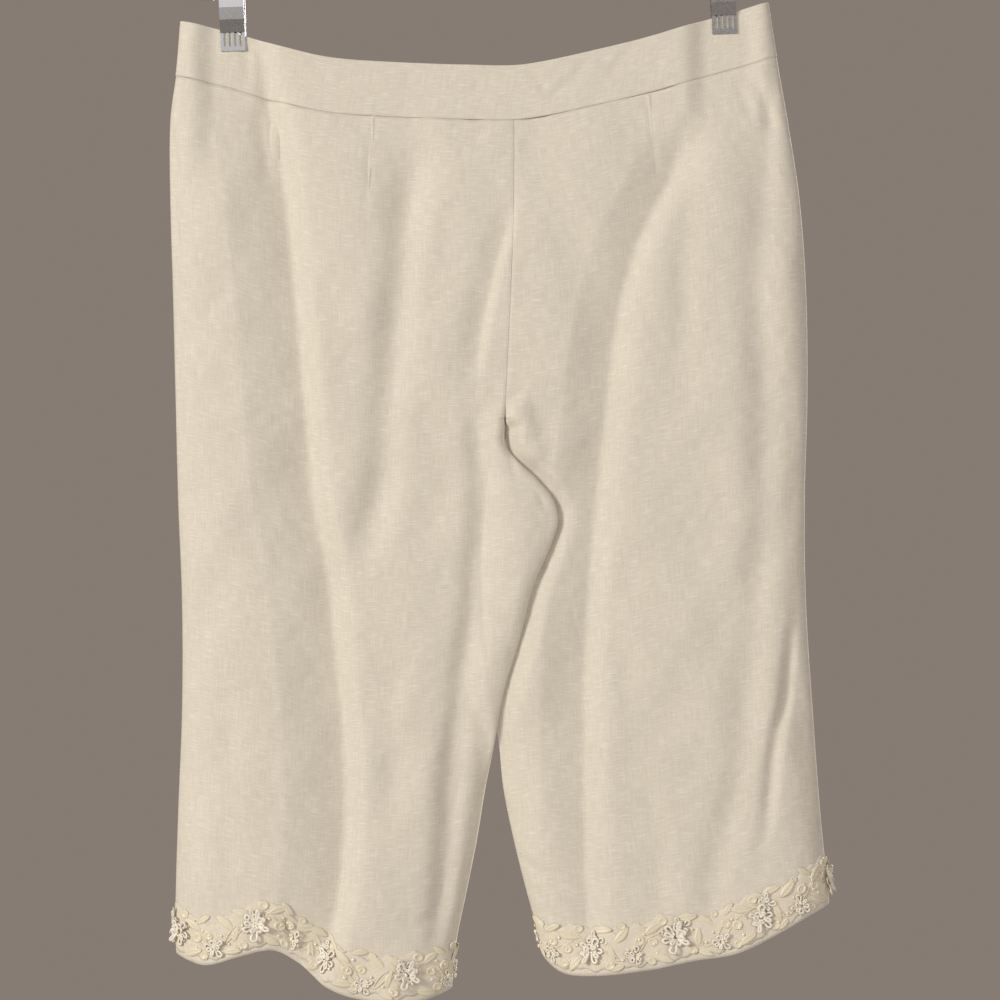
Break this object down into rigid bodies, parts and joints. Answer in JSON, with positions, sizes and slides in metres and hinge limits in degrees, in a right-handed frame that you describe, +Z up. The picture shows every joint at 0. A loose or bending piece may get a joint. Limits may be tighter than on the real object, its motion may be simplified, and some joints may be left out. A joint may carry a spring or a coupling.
{
  "type": "capri pants on a clip hanger",
  "caption": "Wide-leg linen capri pants with a plain waistband and an embroidered hem, hanging from a metal clip hanger.",
  "frame": {"origin": "inside top of the hanger's hook, where a rail carries it", "axes": "+Z up; +X to the right of someone looking at the back of the trousers, which is the wearer's right; +Y from the back of the trousers to their front"},
  "size_m": [0.5066, 0.0586, 0.8652],
  "materials": {
    "linen": "matt plain-weave linen blend, cream",
    "hem_embroidery": "satin-stitched embroidery with ribbon and beads, pale gold cream",
    "chrome": "bright chrome plating"
  },
  "bodies": {
    "root": {"back_left": "linen", "back_right": "linen", "front_left": "linen", "front_right": "linen", "waistband_back": "linen", "waistband_front": "linen", "hem_trim_back_left": "hem_embroidery", "hem_trim_back_right": "hem_embroidery", "hem_trim_front_left": "hem_embroidery", "hem_trim_front_right": "hem_embroidery", "hanger_hook": "chrome", "hanger_bar": "chrome", "hanger_ferrule": "chrome", "hanger_cap_left": "chrome", "hanger_cap_right": "chrome", "clip_left_back_jaw": "chrome", "clip_left_front_jaw": "chrome", "clip_left_spring": "chrome", "clip_right_back_jaw": "chrome", "clip_right_front_jaw": "chrome", "clip_right_spring": "chrome"}
  },
  "joints": []
}
